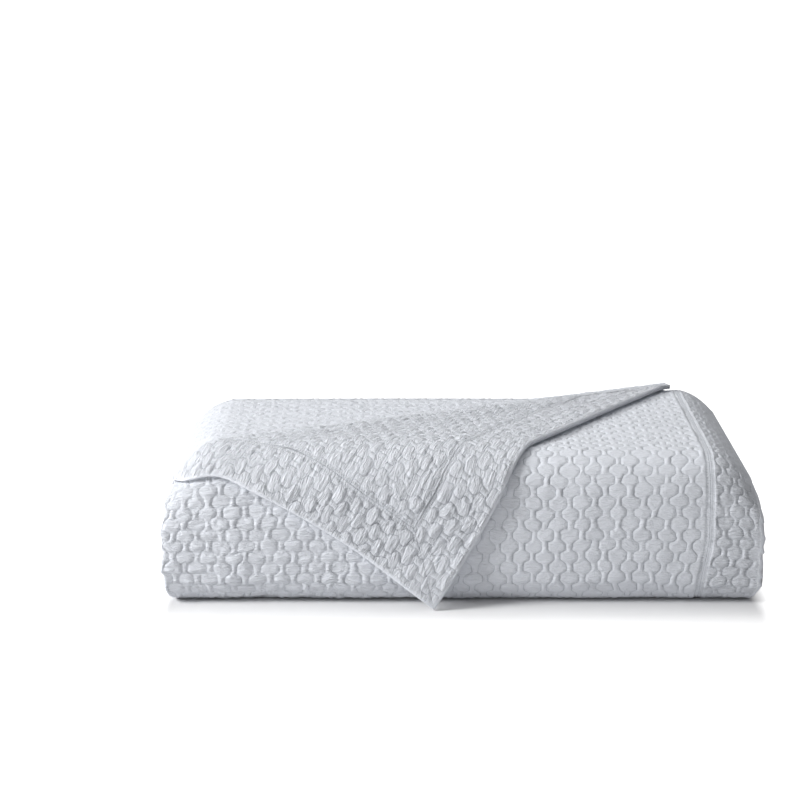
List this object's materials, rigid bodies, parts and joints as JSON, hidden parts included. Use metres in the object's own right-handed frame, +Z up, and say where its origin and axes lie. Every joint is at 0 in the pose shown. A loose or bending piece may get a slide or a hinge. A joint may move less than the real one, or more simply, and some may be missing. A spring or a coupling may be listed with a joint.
{
  "type": "folded coverlet",
  "caption": "Quilted cotton coverlet folded into a stack, its outer layer wrapped round the front and one bordered corner turned over to hang down the front.",
  "frame": {"origin": "under the middle of the folded stack, on the surface that it rests on", "axes": "+X along the stack to its right end, +Y from the wrapped front to the folded back, +Z up"},
  "size_m": [0.64, 0.3702, 0.1715],
  "materials": {
    "quilted_face": "quilted cotton, matt",
    "border_face": "quilted cotton, matt",
    "reverse_face": "quilted cotton reverse, matt"
  },
  "bodies": {
    "root": {"quilted_panel": "quilted_face", "border_right": "border_face", "border_corner_side": "reverse_face", "border_corner_end": "reverse_face"}
  },
  "joints": []
}
